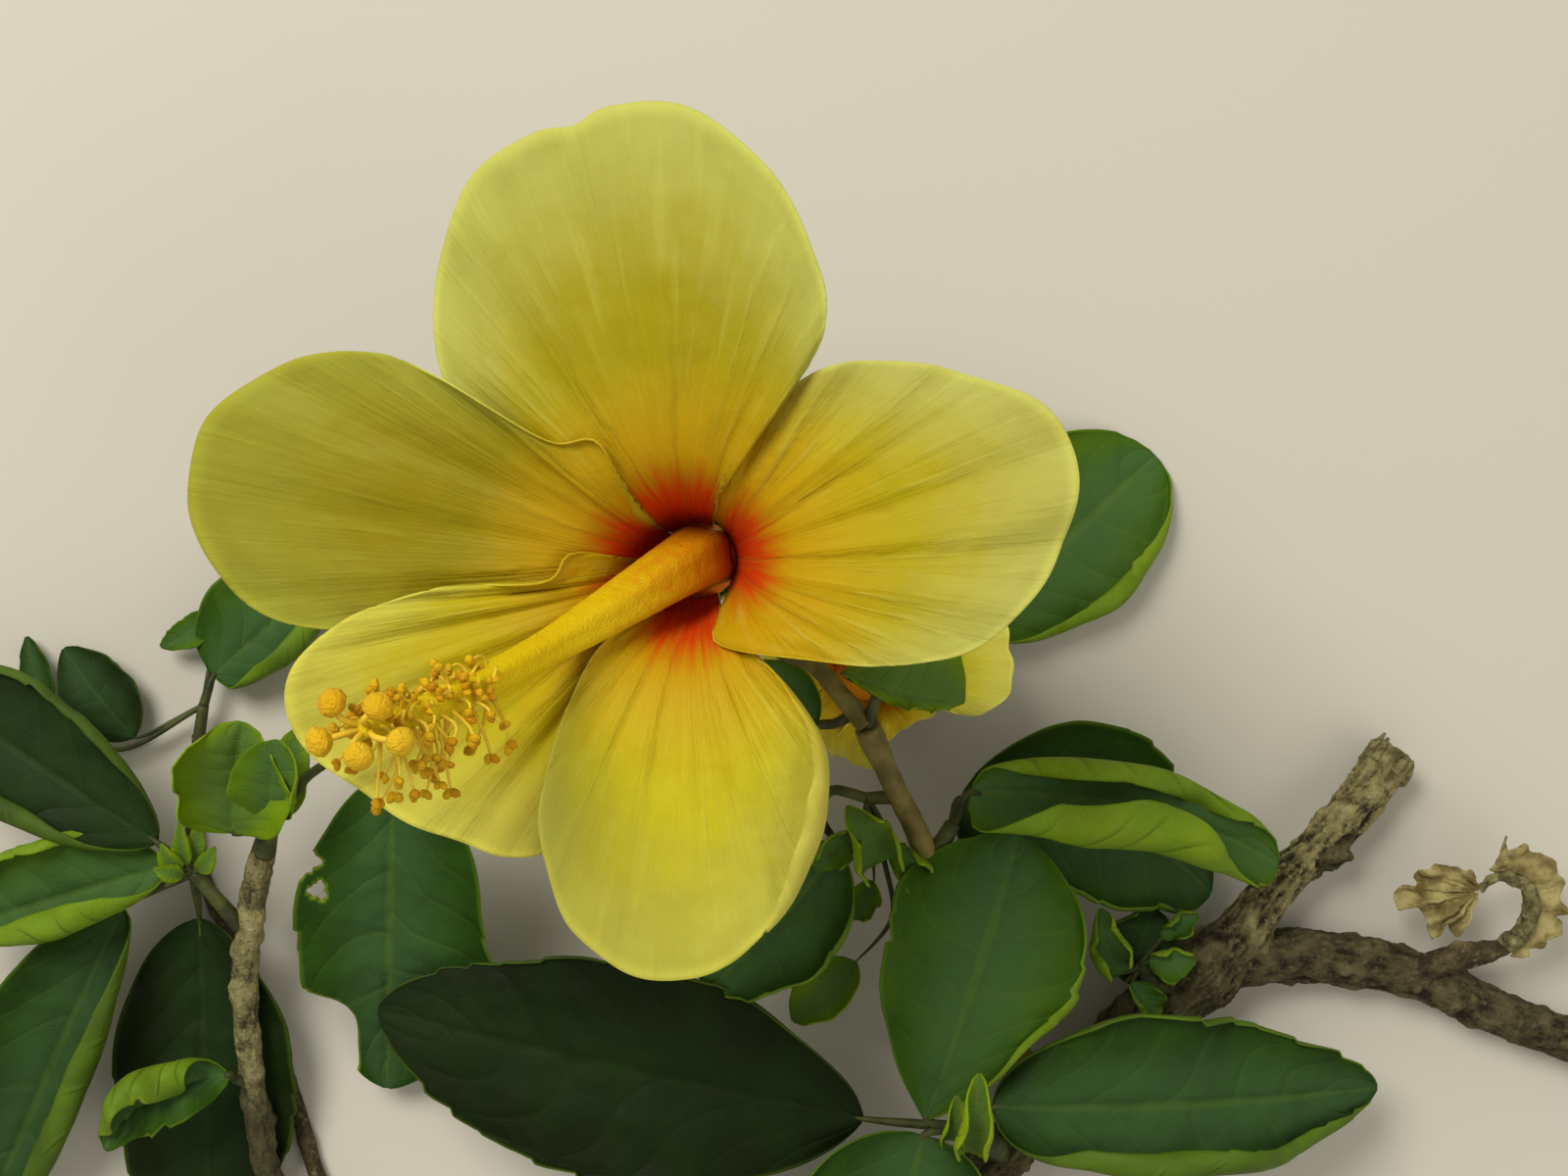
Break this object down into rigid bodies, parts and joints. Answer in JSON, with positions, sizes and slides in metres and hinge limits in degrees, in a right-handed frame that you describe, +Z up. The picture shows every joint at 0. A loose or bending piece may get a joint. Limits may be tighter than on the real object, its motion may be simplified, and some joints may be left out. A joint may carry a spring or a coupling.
{
  "type": "hibiscus flowering branch",
  "caption": "Cut flowering branch of a hibiscus shrub lying on a surface, with an open five-petalled bloom, leafy shoots, woody limbs and a dead twig.",
  "frame": {"origin": "middle of the branch's outline on the surface that it lies on", "axes": "+X along the branch's length, +Z up, which is the way the open bloom faces"},
  "size_m": [0.2972, 0.2008, 0.1237],
  "materials": {
    "bark": "rough grey-brown bark",
    "green_stem": "smooth olive bark",
    "leaf": "glossy leaf",
    "dry_leaf": "dry and papery",
    "petal": "soft petal",
    "stamen": "soft and dusty",
    "calyx": "soft green"
  },
  "bodies": {
    "root": {"main_stem": "bark", "right_limb": "bark", "broken_stub": "bark", "dead_twig": "bark", "left_twig": "bark", "back_twig": "bark", "flower_twig": "green_stem", "front_stalk": "green_stem", "second_stalk": "green_stem", "middle_leaves": "leaf", "upper_leaves": "leaf", "inner_leaves": "leaf", "knot_leaves": "leaf", "left_leaves": "leaf", "left_tip_leaves": "leaf", "twig_leaf": "leaf", "back_left_leaves": "leaf", "stalk_leaf": "leaf", "bract_leaf": "leaf", "hidden_leaf": "leaf", "withered_leaf": "dry_leaf", "front_corolla": "petal", "front_column": "stamen", "front_calyx": "calyx", "second_corolla": "petal", "second_column": "stamen", "second_calyx": "calyx"}
  },
  "joints": []
}
